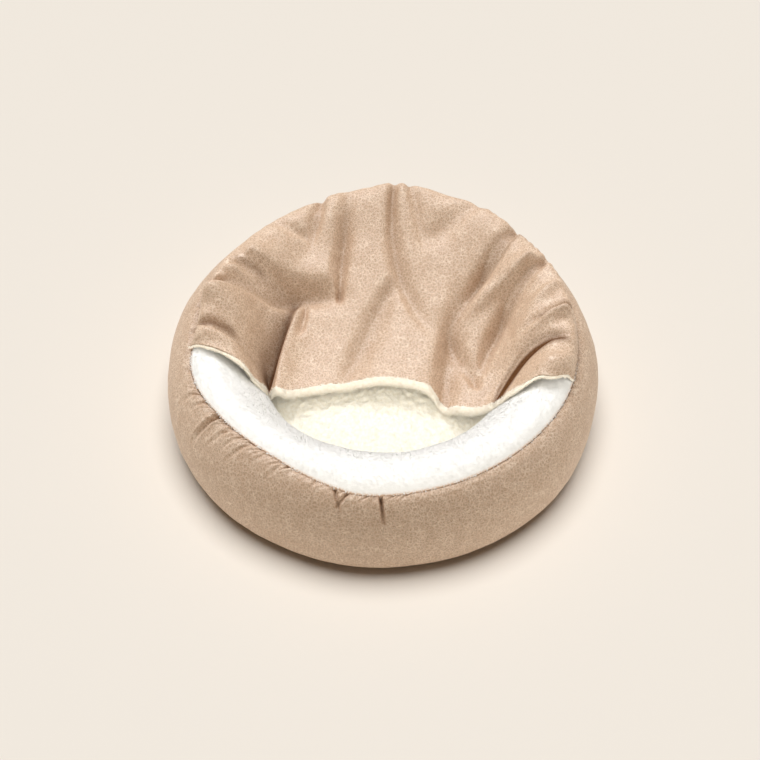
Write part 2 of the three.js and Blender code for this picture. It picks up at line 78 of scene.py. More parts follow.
# Base panel and seat pad
BASE_RADIUS = 0.246
BASE_THICKNESS = 0.0026
UNDERSIDE = 0.0029
SEAT_GAP = 0.0012
SEAT_CROWN = 0.076
SEAT_SHOULDER = 0.057
SEAT_DRAW_IN = 0.008
SEAT_ROUND = 2.5
SEAT_BULGE = 2.2
SEAT_UNEVEN = 0.0016
SEAT_WAVE_X = 0.027
SEAT_WAVE_Y = 0.033
SEAT_WAVE_SHIFT = 0.6
SEAT_EDGE_FADE = 0.05

# Hood cloth and its pile lining
HOOD_START = -11.0
HOOD_END = 191.0
HOOD_THICKNESS = 0.0025
LINING_GAP = 0.00035
LINING_THICKNESS = 0.006
LINING_EDGE_THICKNESS = 0.008
LINING_PRESSED_THICKNESS = 0.0035
LINING_SEAM_THICKNESS = 0.0016
FREE_RADIUS = 0.195
PRESSED_RADIUS = 0.225
EDGE_START = 0.85
HOOD_SAG = 1.5
ROLL_OFF = 0.007
SEAM_STAND_OFF = 0.001
REST_CLEARANCE = 0.0012
REST_RAMP = 0.010
REST_SOFTNESS = 0.006
REST_CONTACT = 0.0015
REST_PUFF = 0.008
PUFF_FADE = 0.7
LEAST_SOFTNESS = 0.0001
MOUTH_SIDE = -0.1
BACK_SIDE = 0.8

# Rim of pile along the hood's front edge: it is low at the hood's two corners, and
# starts and is full at RIM_START and RIM_FULL degrees from them
RIM_REACH = 0.0095
RIM_HANG = 0.0022
RIM_DROP = 0.0003
RIM_ROUND_UP = 0.85
RIM_ROUND_OUT = 0.8
RIM_START = 10.0
RIM_FULL = 42.0
RIM_CORNER_REACH = 0.0022
RIM_CORNER_DROP = 0.9
RIM_CORNER_CURLS = 0.3

# Folds: the shares of their length over which they rise from their strong end, fade
# towards the other end and widen, and how wide they are at the strong end
FOLD_START = 0.12
FOLD_FADE = 0.5
FOLD_WIDENS = 0.35
FOLD_TIP = 0.4

# Section of a gather, in half widths: its valley and the ridges beside it
PUCKER_POWER = 1.6
PUCKER_RIDGE = 0.35
PUCKER_RIDGE_AT = 1.7
PUCKER_RIDGE_WIDTH = 0.8

# Chance in the gathers, as shares of what GATHERS says and degrees of lean
GATHER_SEED = 7
GATHER_DEPTHS = (0.2, 1.35)
GATHER_WIDTHS = (0.18, 0.36)
GATHER_RUNS = (0.6, 1.3)
GATHER_STRAY = 0.5
GATHER_LEAN = 1.5
GATHER_WIDENS = 0.6
HOOD_GATHER_START = 0.004

# Painted shade in creases: how deep a trough and a pleat are where it is full, and how
# dark the painted shade of pleats and gathers, and the stitched lines, are
CREASE_NARROW = 0.8
CREASE_DEEP = 0.042
CREASE_END = 0.14
PLEAT_DEEP = 0.008
PLEAT_POWER = 1.5
PLEAT_PAINTED_SHADE = 0.5
GATHER_PAINTED_SHADE = 0.7
MOUTH_LINE_DARK = 0.5
WALL_LINE_DARK = 0.15
HOOD_LINE_DARK = 0.25
HOOD_CORNER = -0.19
SEAM_LINE = 0.0014
SEAM_THIN = 1.2

# Uneven filling, crumpling and curls of pile, as layers of noise: depth, size, seed
WALL_DENTS = ((0.0005, 0.018, 3),)
PLUSH_PUFFS = ((0.0012, 0.045, 11), (0.0003, 0.011, 12), (0.0003, 0.0045, 13))
SEAT_CURLS = ((0.0012, 0.0065, 21), (0.0007, 0.003, 22))
HOOD_CRUMPLE = ((0.0006, 0.030, 31), (0.00025, 0.012, 32))
RIM_CURLS = ((0.0007, 0.006, 41), (0.0005, 0.0026, 42))


def table(names, rows):
    """One array of numbers for each named column."""
    return dict(zip(names.split(), np.array(rows, float).T))


def rows_of(columns):
    return np.stack(list(columns.values()), -1)


# The ring's top seam, by angle: its radius, and how far the ring is raised there
SEAM = table("at radius lift", [
    (-11, 0.267, 0), (15, 0.265, 0.003), (40, 0.264, 0.01), (65, 0.264, 0.013),
    (95, 0.264, 0.013), (120, 0.262, 0.007), (150, 0.259, 0.003), (179, 0.254, 0),
    (189, 0.256, 0), (197, 0.263, 0), (206, 0.263, 0), (220, 0.257, 0),
    (238, 0.254, 0), (250, 0.258, 0), (262, 0.265, 0), (270, 0.269, 0),
    (290, 0.267, 0), (320, 0.265, 0), (349, 0.267, 0),
])

# Sections of the hood by the seam angle where they start: the height of the crest, and
# where the cloth's top face ends at the front
HOOD_SECTIONS = table("at crest x y z", [
    (-11, 0.168, 0.262, -0.052, 0.156), (-4, 0.178, 0.235, -0.072, 0.174),
    (5, 0.187, 0.212, -0.074, 0.172), (14, 0.194, 0.193, -0.076, 0.158),
    (24, 0.202, 0.17, -0.072, 0.126), (34, 0.205, 0.15, -0.062, 0.099),
    (45, 0.201, 0.126, -0.064, 0.094), (55, 0.211, 0.098, -0.057, 0.094),
    (64, 0.218, 0.07, -0.041, 0.099), (73, 0.212, 0.044, -0.036, 0.107),
    (82, 0.219, 0.018, -0.035, 0.11), (91, 0.225, -0.008, -0.036, 0.11),
    (101, 0.212, -0.04, -0.04, 0.105), (112, 0.206, -0.072, -0.046, 0.097),
    (123, 0.196, -0.104, -0.053, 0.093), (134, 0.192, -0.131, -0.062, 0.094),
    (146, 0.19, -0.155, -0.058, 0.094), (156, 0.197, -0.164, -0.067, 0.118),
    (166, 0.193, -0.181, -0.073, 0.16), (176, 0.187, -0.207, -0.07, 0.175),
    (184, 0.176, -0.232, -0.063, 0.174), (191, 0.167, -0.256, -0.051, 0.159),
])

# Folds of the hood: a line from its strong end (x0, y0) to its fading end (x1, y1)
# that bows to its left, its height (minus for a trough), and how far it spreads to
# the left and to the right of the line
FOLDS = table("x0 y0 x1 y1 bow rise left right", [
    # the back: three troughs, with dimples, a ridge and a short arm beside them
    (-0.008, 0.272, 0.09, 0.018, -0.034, -0.017, 0.012, 0.011),
    (0.006, 0.268, 0.044, 0.15, 0.003, -0.009, 0.01, 0.008),
    (0.13, 0.24, 0.02, 0.158, 0, -0.009, 0.018, 0.014),
    (-0.07, 0.078, -0.07, 0.262, 0.004, -0.017, 0.01, 0.011),
    (-0.092, 0.092, -0.09, 0.26, 0, 0.006, 0.026, 0.009),
    (-0.112, 0.244, -0.124, 0.14, 0.003, -0.017, 0.009, 0.01),
    (-0.122, 0.164, -0.186, 0.18, 0.002, -0.008, 0.009, 0.009),
    # the left side: ridges and valleys, the deep crease and its lip, and the hem
    (-0.214, 0.112, -0.04, 0.106, 0.002, 0.011, 0.03, 0.009),
    (-0.226, 0.092, -0.034, 0.092, -0.002, -0.019, 0.01, 0.017),
    (-0.236, 0.072, -0.15, 0.092, 0.003, 0.007, 0.008, 0.008),
    (-0.248, 0.05, -0.11, 0.086, 0.002, -0.018, 0.008, 0.012),
    (-0.262, 0.01, -0.112, 0.08, 0.006, 0.01, 0.012, 0.018),
    (-0.272, 0.02, -0.142, 0.01, 0, 0.017, 0.024, 0.02),
    (-0.156, -0.11, -0.122, 0.112, 0.009, -0.027, 0.022, 0.005),
    (-0.14, -0.09, -0.118, 0.092, 0.008, 0.009, 0.006, 0.018),
    (-0.258, -0.018, -0.14, -0.03, -0.006, -0.022, 0.009, 0.009),
    (-0.262, -0.044, -0.15, -0.06, 0.004, 0.007, 0.009, 0.012),
    (-0.117, 0.078, -0.127, 0.014, 0.003, -0.01, 0.006, 0.005),
    # the middle of the front edge
    (0.006, 0.124, -0.06, -0.09, -0.004, -0.015, 0.026, 0.014),
    (0.092, -0.1, 0.1, 0.16, 0.006, -0.017, 0.011, 0.02),
    (0.068, -0.09, 0.076, 0.08, 0.004, 0.006, 0.024, 0.008),
    # the right side: valleys and ridges, the deep crease and the hem
    (0.18, 0.204, 0.086, 0.054, -0.004, -0.024, 0.01, 0.01),
    (0.206, 0.142, 0.092, 0.056, -0.004, 0.014, 0.009, 0.02),
    (0.228, 0.148, 0.132, -0.05, -0.024, -0.022, 0.01, 0.011),
    (0.14, -0.038, 0.066, 0.086, 0, -0.011, 0.012, 0.01),
    (0.24, 0.096, 0.16, -0.01, -0.01, 0.01, 0.012, 0.01),
    (0.26, 0.06, 0.172, 0.01, -0.002, -0.014, 0.007, 0.007),
    (0.262, 0.04, 0.15, -0.022, -0.016, 0.017, 0.012, 0.018),
    (0.166, -0.112, 0.272, 0.004, 0.045, -0.036, 0.009, 0.008),
    (0.266, -0.04, 0.19, -0.082, -0.006, 0.012, 0.02, 0.014),
])

# Painted shade along the hood's deepest creases, where shade falls: lines as in FOLDS,
# how far each spreads to both sides, and how dark it is, from 0 to 1
PAINTED_SHADE_LINES = table("x0 y0 x1 y1 bow width dark", [
    (0.156, -0.086, 0.262, -0.004, 0.027, 0.0085, 1),  # right crease
    (-0.158, -0.06, -0.131, 0.096, 0, 0.0065, 0.6),  # left crease
    (-0.252, -0.02, -0.196, -0.02, 0, 0.004, 0.4),  # left hem valley
    (-0.222, 0.102, -0.176, 0.096, 0, 0.0036, 0.3),  # big valley
    (-0.246, 0.046, -0.206, 0.056, 0, 0.0036, 0.35),  # second valley
    (0.186, 0.192, 0.14, 0.132, 0, 0.0036, 0.3),  # right valley a
    (0.262, 0.062, 0.206, 0.032, 0, 0.0034, 0.4),  # right short valley
])

# Pleats and deep gathers of the outer wall: angle at the seam, degrees that it leans by
# its lower end, how far down the skin it runs (0 to 1), its depth, and half its degrees
PLEATS = table("at lean reach depth width", [
    (208.9, -3, 0.24, 0.0018, 0.8), (213.5, -3, 0.2, 0.0016, 0.6),
    (220.3, -3, 0.34, 0.0056, 0.8), (226.9, -4, 0.26, 0.002, 0.7),
    (231, -4, 0.22, 0.0016, 0.6), (235, -5, 0.26, 0.002, 0.7),
    (247, -4, 0.2, 0.0012, 0.6), (262.8, 3, 0.26, 0.0052, 0.6),
    (266.6, -3, 0.2, 0.0046, 0.5), (275.4, 1, 0.3, 0.009, 0.45),
])

# Fine gathers along the seam, by stretches of the ring: degrees from one to the
# next, depth on the wall and on the hood, how far they run, and their lean
GATHERS = table("start end step wall hood run lean", [
    (-11, 20, 2.2, 0.0016, 0.0034, 0.034, 0), (20, 60, 2.8, 0.0014, 0.003, 0.03, 0),
    (60, 120, 4.6, 0.0014, 0.0022, 0.026, 0), (120, 165, 4, 0.0014, 0.002, 0.024, 0),
    (165, 191, 2.6, 0.0016, 0.003, 0.028, 0), (191, 206, 2.6, 0.0018, 0, 0.03, -3),
    (206, 250, 1.4, 0.0019, 0, 0.036, -6), (250, 284, 1.8, 0.0014, 0, 0.028, -3),
    (284, 330, 3.6, 0.0008, 0, 0.024, 1), (330, 349, 2.4, 0.0016, 0, 0.026, 3),
])


def ease(t):
    return t * t * (3 - 2 * t)


def share(value, low, high):
    """How far a value is from low to high, held between 0 and 1."""
    return np.clip((value - low) / (high - low), 0, 1)


def mix(a, b, t):
    return a + (b - a) * t


def around(radius, angle, z):
    """Points at a radius, angle and height."""
    turn = np.radians(angle)
    return np.stack(np.broadcast_arrays(radius * np.cos(turn), radius * np.sin(turn), z), -1)


def full_turn(columns):
    return (np.arange(columns) * 360 / columns)[:, None]


def column(rows, name, at):
    """One column of a table read along a smooth curve: between two rows it is the
    cubic whose end slopes are those of the chords between the rows' neighbours."""
    x, y = rows["at"], rows[name]
    near = np.arange(len(x))
    before, after = np.maximum(near - 1, 0), np.minimum(near + 1, len(x) - 1)
    slope = (y[after] - y[before]) / (x[after] - x[before])
    i = np.clip(np.searchsorted(x, at) - 1, 0, len(x) - 2)
    span = x[i + 1] - x[i]
    t = np.clip((at - x[i]) / span, 0, 1)
    s = 1 - t
    ends = s * s * (1 + 2 * t) * y[i] + t * t * (1 + 2 * s) * y[i + 1]
    return ends + t * s * span * (s * slope[i] - t * slope[i + 1])


def seam_value(name, angle):
    return column(SEAM, name, (angle - HOOD_START) % 360 + HOOD_START)


def backness(angle):
    """0 at the mouth and 1 at the back."""
    return ease(share(np.sin(np.radians(angle)), MOUTH_SIDE, BACK_SIDE))


def foot_radius(angle):
    return FOOT_RADIUS + FOOT_OVAL * np.cos(np.radians(2 * angle))


def outer_height(radius, angle):
    """Skin outside the crown: a superellipse from the crown down to the belt."""
    k = share(radius, CROWN_RADIUS, OUTER_RADIUS)
    rise = CROWN_HEIGHT + seam_value("lift", angle) - BELT_HEIGHT
    return BELT_HEIGHT + rise * (1 - k ** UPPER_ROUND) ** (1 / UPPER_ROUND)


def inner_height(radius, angle):
    """Skin inside the crown: a blunter superellipse down to the foot at the seat."""
    k = 1 - share(radius, foot_radius(angle), CROWN_RADIUS)
    rise = CROWN_HEIGHT + seam_value("lift", angle) - FOOT_HEIGHT
    return FOOT_HEIGHT + rise * (1 - k ** INNER_ROUND) ** (1 / INNER_ROUND)


def seat_height(radius, angle):
    """The seat's crown: it falls as the power 2.5 of the distance from its middle."""
    k = share(radius, 0, foot_radius(angle) - SEAT_GAP)
    return SEAT_SHOULDER + (SEAT_CROWN - SEAT_SHOULDER) * (1 - k ** SEAT_ROUND)


def seam_dip(radius, angle):
    """The seam pulls the cloth down on both sides of it: a wide bell curve with a
    narrow stitched groove in its middle."""
    off = np.abs(radius - seam_value("radius", angle))
    groove = STITCH_DEPTH * np.exp(-off / STITCH_SPREAD)
    return SEAM_DEPTH * np.exp(-(off / SEAM_SPREAD) ** 2) + groove


def rest_height(x, y):
    """Height of whatever lies under the hood."""
    radius, angle = np.hypot(x, y), np.degrees(np.arctan2(y, x))
    inside = np.where(radius >= foot_radius(angle), inner_height(radius, angle),
                      np.maximum(FOOT_HEIGHT, seat_height(radius, angle)))
    return np.where(radius >= CROWN_RADIUS, outer_height(radius, angle), inside)


def soft_max(low, high, softness):
    """The larger of two heights, rounded where they meet."""
    return low + softness * np.logaddexp(0, (high - low) / softness)


def hashed(cells, seed):
    """A random number from 0 to 1 for each cell: its three whole numbers are multiplied
    by large numbers and their bits mixed."""
    key = cells[..., 0] * 73856093 ^ cells[..., 1] * 19349663
    key = key ^ cells[..., 2] * 83492791 ^ seed * 2654435761
    key = (key ^ (key >> 13)) * 1274126177 & 0xFFFFFFFF
    return ((key ^ (key >> 16)) & 0xFFFF) / 65535


def mottle(points, size, seed):
    """Smooth noise from -1 to 1: random numbers on a cubic lattice of that size, each
    cell blended between its eight corners."""
    place = points / size
    cell = np.floor(place).astype(np.int64)
    part = ease(place - cell)
    total = np.zeros(points.shape[:-1])
    for corner in np.ndindex(2, 2, 2):
        total += np.prod(np.where(corner, part, 1 - part), axis=-1) * hashed(cell + corner, seed)
    return 2 * total - 1


def uneven(points, layers):
    """Layers of noise added up."""
    return sum(depth * mottle(points, size, seed) for depth, size, seed in layers)


def gather_rows():
    """The fine gathers one by one: each stretch of GATHERS is stepped through with a
    little random change of place, depth and run."""
    rng = np.random.default_rng(GATHER_SEED)
    rows = []
    for start, end, step, wall, hood, run, lean in rows_of(GATHERS):
        for at in np.arange(start, end, step):
            size = rng.uniform(*GATHER_DEPTHS)
            place = at + rng.uniform(-GATHER_STRAY, GATHER_STRAY) * step
            width = step * rng.uniform(*GATHER_WIDTHS)
            reach = run * rng.uniform(*GATHER_RUNS)
            slant = lean + rng.uniform(-GATHER_LEAN, GATHER_LEAN)
            rows.append((place, width, wall * size, hood * size, reach, slant))
    return rows


GATHER_ROWS = gather_rows()


def pucker(off):
    """Section of a gather: a narrow valley with a lower ridge on each side."""
    ridge = np.exp(-((np.abs(off) - PUCKER_RIDGE_AT) / PUCKER_RIDGE_WIDTH) ** 2)
    return np.exp(-np.abs(off) ** PUCKER_POWER) - PUCKER_RIDGE * ridge


def gather_depth(angle, run, side):
    """How deep the fine gathers are at a distance from the seam, on the wall or the
    hood: each fades as the square of what is left of its run."""
    depth = np.zeros(np.broadcast(angle, run).shape)
    for at, width, wall, hood, reach, lean in GATHER_ROWS:
        size = {"wall": wall, "hood": hood}[side]
        along = np.clip(run / reach, 0, 1)
        wide = width * (1 + GATHER_WIDENS * along)
        off = ((angle - at - lean * along + 180) % 360 - 180) / wide
        depth += size * pucker(off) * (1 - along) ** 2
    return depth


def pleat_depth(angle, t):
    """Depth of the wall's pleats, t from 0 at the seam to 1 at the floor."""
    depth = np.zeros(np.broadcast(angle, t).shape)
    for at, lean, reach, deep, width in rows_of(PLEATS):
        along = np.clip(t / reach, 0, 1)
        off = (angle - at - lean * along) / width
        depth += deep * pucker(off) * (1 - along * along)
    return depth


def beside(x, y, x0, y0, x1, y1, bow):
    """How far along a bowed line each point is, from 0 to 1, and how far to its left."""
    length = np.hypot(x1 - x0, y1 - y0)
    run_x, run_y = (x1 - x0) / length, (y1 - y0) / length
    t = ((x - x0) * run_x + (y - y0) * run_y) / length
    off = (y - y0) * run_x - (x - x0) * run_y - bow * np.clip(4 * t * (1 - t), 0, None)
    return t, off


def fold_bell(x, y, fold, narrow):
    """How much of one fold's height each point has: a bell curve across its bowed line,
    narrow at its strong end, eased in over its first part and out over its second half."""
    x0, y0, x1, y1, bow, _, left, right = fold
    t, off = beside(x, y, x0, y0, x1, y1, bow)
    taper = ease(share(t, 0, FOLD_START)) * ease(share(1 - t, 0, FOLD_FADE))
    spread = narrow * mix(FOLD_TIP, 1, share(t, 0, FOLD_WIDENS))
    return taper * np.exp(-(off / np.where(off > 0, left, right) / spread) ** 2)


def fold_height(x, y):
    """What the folds add to the hood."""
    return sum(rise * fold_bell(x, y, fold, 1)
               for fold, rise in zip(rows_of(FOLDS), FOLDS["rise"]))


def fold_painted_shade(x, y):
    """How much painted shade the hood has in its creases, from 0 to 1: the listed lines of
    painted shade, and the troughs of FOLDS, made narrower and dark as the square of their depth."""
    crease = np.zeros_like(x)
    for x0, y0, x1, y1, bow, width, dark in rows_of(PAINTED_SHADE_LINES):
        t, off = beside(x, y, x0, y0, x1, y1, bow)
        ends = ease(share(t, 0, CREASE_END)) * ease(share(1 - t, 0, CREASE_END))
        crease += dark * ends * np.exp(-(off / width) ** 2)
    for fold, rise in zip(rows_of(FOLDS), FOLDS["rise"]):
        dark = min(rise / CREASE_DEEP, 0) ** 2
        crease += dark * fold_bell(x, y, fold, CREASE_NARROW)
    return np.clip(crease, 0, 1)


def seam_line(run):
    """1 in the stitched line of the seam and 0 a little away from it."""
    return np.exp(-(run / SEAM_LINE) ** 2)


def unit(vectors):
    return vectors / np.maximum(np.linalg.norm(vectors, axis=-1, keepdims=True), 1e-12)


def wrap_steps(grid, axis, wraps):
    if wraps:
        return np.roll(grid, -1, axis) - np.roll(grid, 1, axis)
    return np.gradient(grid, axis=axis)


def outward(grid, wraps=(True, True)):
    """Unit normals of a grid of points: the cross product of the steps between its
    columns and between its rows; wraps says which of the two close on themselves."""
    return unit(np.cross(wrap_steps(grid, 0, wraps[0]), wrap_steps(grid, 1, wraps[1])))


def grid_faces(columns, rows, wraps):
    """Squares of a grid, turned so that columns cross rows is outward."""
    i = np.arange(columns if wraps[0] else columns - 1)[:, None]
    j = np.arange(rows if wraps[1] else rows - 1)[None, :]
    right, up = (i + 1) % columns, (j + 1) % rows
    corners = [i * rows + j, right * rows + j, right * rows + up, i * rows + up]
    return np.stack(np.broadcast_arrays(*corners), -1).reshape(-1, 4)


def put(name, data):
    thing = bpy.data.objects.new(name, data)
    bpy.context.collection.objects.link(thing)
    return thing


def make_piece(name, vertices, faces, material, uv=None, shading=None):
    """A smooth mesh piece at the origin; shading gives each vertex a number that its
    material reads: painted shade in the creases and dark stitched lines, and thin pile."""
    mesh = bpy.data.meshes.new(name)
    mesh.from_pydata(vertices, [], faces)
    if uv is not None:
        layer = mesh.uv_layers.new(name="surface")
        corner = np.empty(len(mesh.loops), np.int32)
        mesh.loops.foreach_get("vertex_index", corner)
        layer.data.foreach_set("uv", uv[corner].astype(np.float32).ravel())
    if shading is not None:
        layer = mesh.attributes.new("shading", "FLOAT", "POINT")
        layer.data.foreach_set("value", shading.ravel())
    mesh.shade_smooth()
    mesh.materials.append(material)
    return put(name, mesh)


def grid_piece(name, grid, wraps, material, shading=None, extra_faces=()):
    """A piece from a grid of points, with the grid's shares as its UV map."""
    columns, rows = grid.shape[:2]
    faces = grid_faces(columns, rows, wraps).tolist() + list(extra_faces)
    u, v = np.meshgrid(np.arange(columns) / columns, np.arange(rows) / rows, indexing="ij")
    uv = np.stack([u, v], -1).reshape(-1, 2)
    return make_piece(name, grid.reshape(-1, 3), faces, material, uv, shading)


# Materials, with the scales of noise and cells to the metre

PILE_BACKING = (0.72, 0.50, 0.34)
# Painted shade: the colour the suede is darkened towards in its creases; it also darkens the
# stitched lines
PAINTED_SHADE_AND_SEAM_TINT = (0.20, 0.125, 0.08)
DULL = 0.25
SUEDE_WANDER = (160, 0.005)
COARSE_VEINS = (190, 0.12)
FINE_VEINS = (390, 0.13)
FINE_SHARE = 0.7
VEIN_STRENGTH = 0.8
PATCH_SCALE = 60
GRAIN_SCALE = 560
CLOUD_SCALE = 16
SUEDE_GLOSS = 0.9
SUEDE_BUMP = (0.0006, 0.5)
HAIRS_TO_CURLS = 5
HAIR_SHARE = 0.4
PILE_SHEEN = 0.3
PILE_GLOSS = 0.1


def new_material(name, colour, roughness):
    material = bpy.data.materials.new(name)
    material.use_nodes = True
    shader = material.node_tree.nodes["Principled BSDF"]
    shader.inputs["Base Color"].default_value = (*colour, 1)
    shader.inputs["Roughness"].default_value = roughness
    shader.inputs["Specular IOR Level"].default_value = DULL
    return material, material.node_tree, shader


def add_node(tree, kind, settings=(), **inputs):
    """A new node with its settings and the values of its sockets."""
    node = tree.nodes.new(kind)
    for key, value in dict(settings).items():
        setattr(node, key, value)
    for key, value in inputs.items():
        node.inputs[key.replace("_", " ")].default_value = value
    return node


def feed(tree, sockets, values):
    """Gives sockets their values: a number, a vector, or another socket to follow."""
    for socket, value in zip(sockets, values):
        if isinstance(value, (int, float, tuple)):
            socket.default_value = value
        else:
            tree.links.new(value, socket)


def remap(tree, source, low, high, to_low, to_high):
    """A value moved from one range to another with soft ends."""
    node = add_node(tree, "ShaderNodeMapRange", {"interpolation_type": "SMOOTHSTEP"})
    feed(tree, node.inputs, (source, low, high, to_low, to_high))
    return node.outputs[0]


def combine(tree, operation, a, b, kind="ShaderNodeMath"):
    """Two numbers or two vectors joined by arithmetic."""
    node = add_node(tree, kind, {"operation": operation})
    feed(tree, node.inputs, (a, b))
    return node.outputs[0]


def times(tree, a, b):
    return combine(tree, "MULTIPLY", a, b)


def blend(tree, factor, a, b, mode="MIX"):
    """Two colours mixed by a value; each is a colour of its own or a socket."""
    node = add_node(tree, "ShaderNodeMix", {"data_type": "RGBA", "blend_type": mode})
    a, b = ((*colour, 1) if isinstance(colour, tuple) else colour for colour in (a, b))
    feed(tree, (node.inputs[0], node.inputs[6], node.inputs[7]), (factor, a, b))
    return node.outputs[2]


def stored_shading(tree):
    return add_node(tree, "ShaderNodeAttribute", {"attribute_name": "shading"}).outputs["Fac"]


def noise(tree, place, scale, detail=2.0, roughness=0.5):
    node = add_node(tree, "ShaderNodeTexNoise", Scale=scale, Detail=detail, Roughness=roughness)
    tree.links.new(place, node.inputs["Vector"])
    return node.outputs["Fac"]


def warped_place(tree, scale, size):
    """Object coordinates, and the same pushed about by noise for uneven cells."""
    place = tree.nodes.new("ShaderNodeTexCoord").outputs["Object"]
    wander = add_node(tree, "ShaderNodeTexNoise", Scale=scale, Detail=2.0)
    tree.links.new(place, wander.inputs["Vector"])
    vector = "ShaderNodeVectorMath"
    centred = combine(tree, "SUBTRACT", wander.outputs["Color"], (0.5, 0.5, 0.5), vector)
    sized = combine(tree, "MULTIPLY", centred, (size, size, size), vector)
    return place, combine(tree, "ADD", place, sized, vector)


def vein_lines(tree, place, scale, width):
    """Thin lines, 1 on the edges between random cells and 0 away from them."""
    cells = add_node(tree, "ShaderNodeTexVoronoi", {"feature": "DISTANCE_TO_EDGE"}, Scale=scale)
    tree.links.new(place, cells.inputs["Vector"])
    return remap(tree, cells.outputs["Distance"], 0.0, width, 1.0, 0.0)


def add_bump(tree, shader, height, distance, strength):
    bump = add_node(tree, "ShaderNodeBump", Strength=strength, Distance=distance)
    tree.links.new(height, bump.inputs["Height"])
    tree.links.new(bump.outputs[0], shader.inputs["Normal"])


def suede(name, base, vein, shade):
    """Faux suede with a soft gloss: paler veins of two sizes over speckled cloth, with
    painted shade that makes it darker and duller in its creases, and dark stitched lines."""
    material, tree, shader = new_material(name, base, 0.52)
    place, warped = warped_place(tree, *SUEDE_WANDER)
    coarse = vein_lines(tree, warped, *COARSE_VEINS)
    fine = times(tree, vein_lines(tree, warped, *FINE_VEINS), FINE_SHARE)
    patch = remap(tree, noise(tree, place, PATCH_SCALE), 0.35, 0.65, 0.6, 1.0)
    veins = times(tree, combine(tree, "MAXIMUM", coarse, fine), patch)
    grain = noise(tree, place, GRAIN_SCALE, 1.0, 0.5)
    cloud = remap(tree, noise(tree, place, CLOUD_SCALE, 3.0), 0.3, 0.7, 0.0, 0.25)
    dust = remap(tree, grain, 0.38, 0.62, 0.0, 1.0)
    pale = times(tree, veins, VEIN_STRENGTH)
    # painted shade in the creases and the dark stitched lines, read from each vertex
    crease = stored_shading(tree)
    colour = blend(tree, cloud, base, shade)
    colour = blend(tree, dust, colour, shade)
    colour = blend(tree, pale, colour, vein)
    colour = blend(tree, crease, colour, PAINTED_SHADE_AND_SEAM_TINT, "MULTIPLY")
    tree.links.new(colour, shader.inputs["Base Color"])
    height = combine(tree, "ADD", times(tree, veins, 0.6), times(tree, grain, 0.8))
    add_bump(tree, shader, height, *SUEDE_BUMP)
    # less gloss where the painted shade lies
    gloss = times(tree, combine(tree, "SUBTRACT", 1.0, crease), SUEDE_GLOSS)
    tree.links.new(gloss, shader.inputs["Specular IOR Level"])
    return material


def pile_cloth(name, base, shade, scale, bump):
    """Pile: soft curls of two sizes, with painted shade between them where they are low,
    and the colour of the backing cloth where they thin out along a seam."""
    material, tree, shader = new_material(name, base, 1.0)
    place, warped = warped_place(tree, scale * 0.6, 0.6 / scale)
    curls = noise(tree, warped, scale, 3.0, 0.6)
    hairs = noise(tree, place, scale * HAIRS_TO_CURLS, 2.0, 0.6)
    height = combine(tree, "ADD", curls, times(tree, hairs, HAIR_SHARE))
    # painted shade: the pile is darker where its curls are low, between them
    painted_gap_shade = remap(tree, height, 0.45, 0.85, 1.0, 0.0)
    colour = blend(tree, painted_gap_shade, base, shade)
    colour = blend(tree, stored_shading(tree), colour, PILE_BACKING)
    tree.links.new(colour, shader.inputs["Base Color"])
    add_bump(tree, shader, height, bump, 0.6)
    shader.inputs["Sheen Weight"].default_value = PILE_SHEEN
    shader.inputs["Sheen Roughness"].default_value = 0.6
    shader.inputs["Specular IOR Level"].default_value = PILE_GLOSS
    return material


SUEDE = suede("suede_tan", (0.645, 0.442, 0.292), (0.90, 0.735, 0.57), (0.46, 0.295, 0.178))
SUEDE_BASE = suede("suede_base", (0.40, 0.29, 0.20), (0.50, 0.38, 0.28), (0.33, 0.23, 0.16))
PLUSH = pile_cloth("plush_white", (0.93, 0.93, 0.905), (0.88, 0.88, 0.85), 260, 0.0006)
SHERPA = pile_cloth("sherpa_cream", (0.90, 0.885, 0.82), (0.82, 0.78, 0.67), 230, 0.0014)
# Painted light: the lining's copy of the cream sherpa is warmer and brighter, as its strip faces
# down and gets less light
PAINTED_LIGHT_LINING_SHERPA = pile_cloth("sherpa_lining", (0.95, 0.90, 0.79), (0.88, 0.80, 0.66), 260, 0.0014)
THREAD = new_material("stitch_thread", (0.30, 0.20, 0.13), 0.8)[0]


# Bolster

WALL_FRONT_START = 196
WALL_FRONT_END = 290
WALL_FRONT_STEP = 0.2
WALL_BACK_STEP = 0.5
WALL_UPPER_ROWS = 44
WALL_LOWER_ROWS = 26
WALL_ROW_BUNCH = 1.25
WALL_LOWER_END = 0.94
WALL_RUN = 0.62
DENTS_UPPER = 0.3
DENTS_LOWER = 0.2
PLUSH_COLUMNS = 720
PLUSH_CROWN_ROWS = 24
PLUSH_SLOPE_ROWS = 56
PLUSH_SKIN_ROWS = PLUSH_CROWN_ROWS - 1 + PLUSH_SLOPE_ROWS
PLUSH_ROW_BUNCH = 1.5
PLUSH_FADE_ROWS = 8


def wall_angles():
    """Columns of the wall: close together along its front, where its gathers are."""
    front = np.arange(WALL_FRONT_START, WALL_FRONT_END, WALL_FRONT_STEP)
    back = np.arange(WALL_FRONT_END, WALL_FRONT_START + 360, WALL_BACK_STEP)
    return np.concatenate([front, back])[:, None]


def wall_wave(angle, t):
    """Two sines round the filled wall, t from 0 at the seam to 1 at the floor."""
    waves = np.sin(np.radians(WALL_WAVES * angle))
    ripples = np.sin(np.radians(WALL_RIPPLES * angle + RIPPLE_TURN))
    return WALL_WAVE * (waves + RIPPLE_SHARE * ripples) * np.sin(np.pi * t)


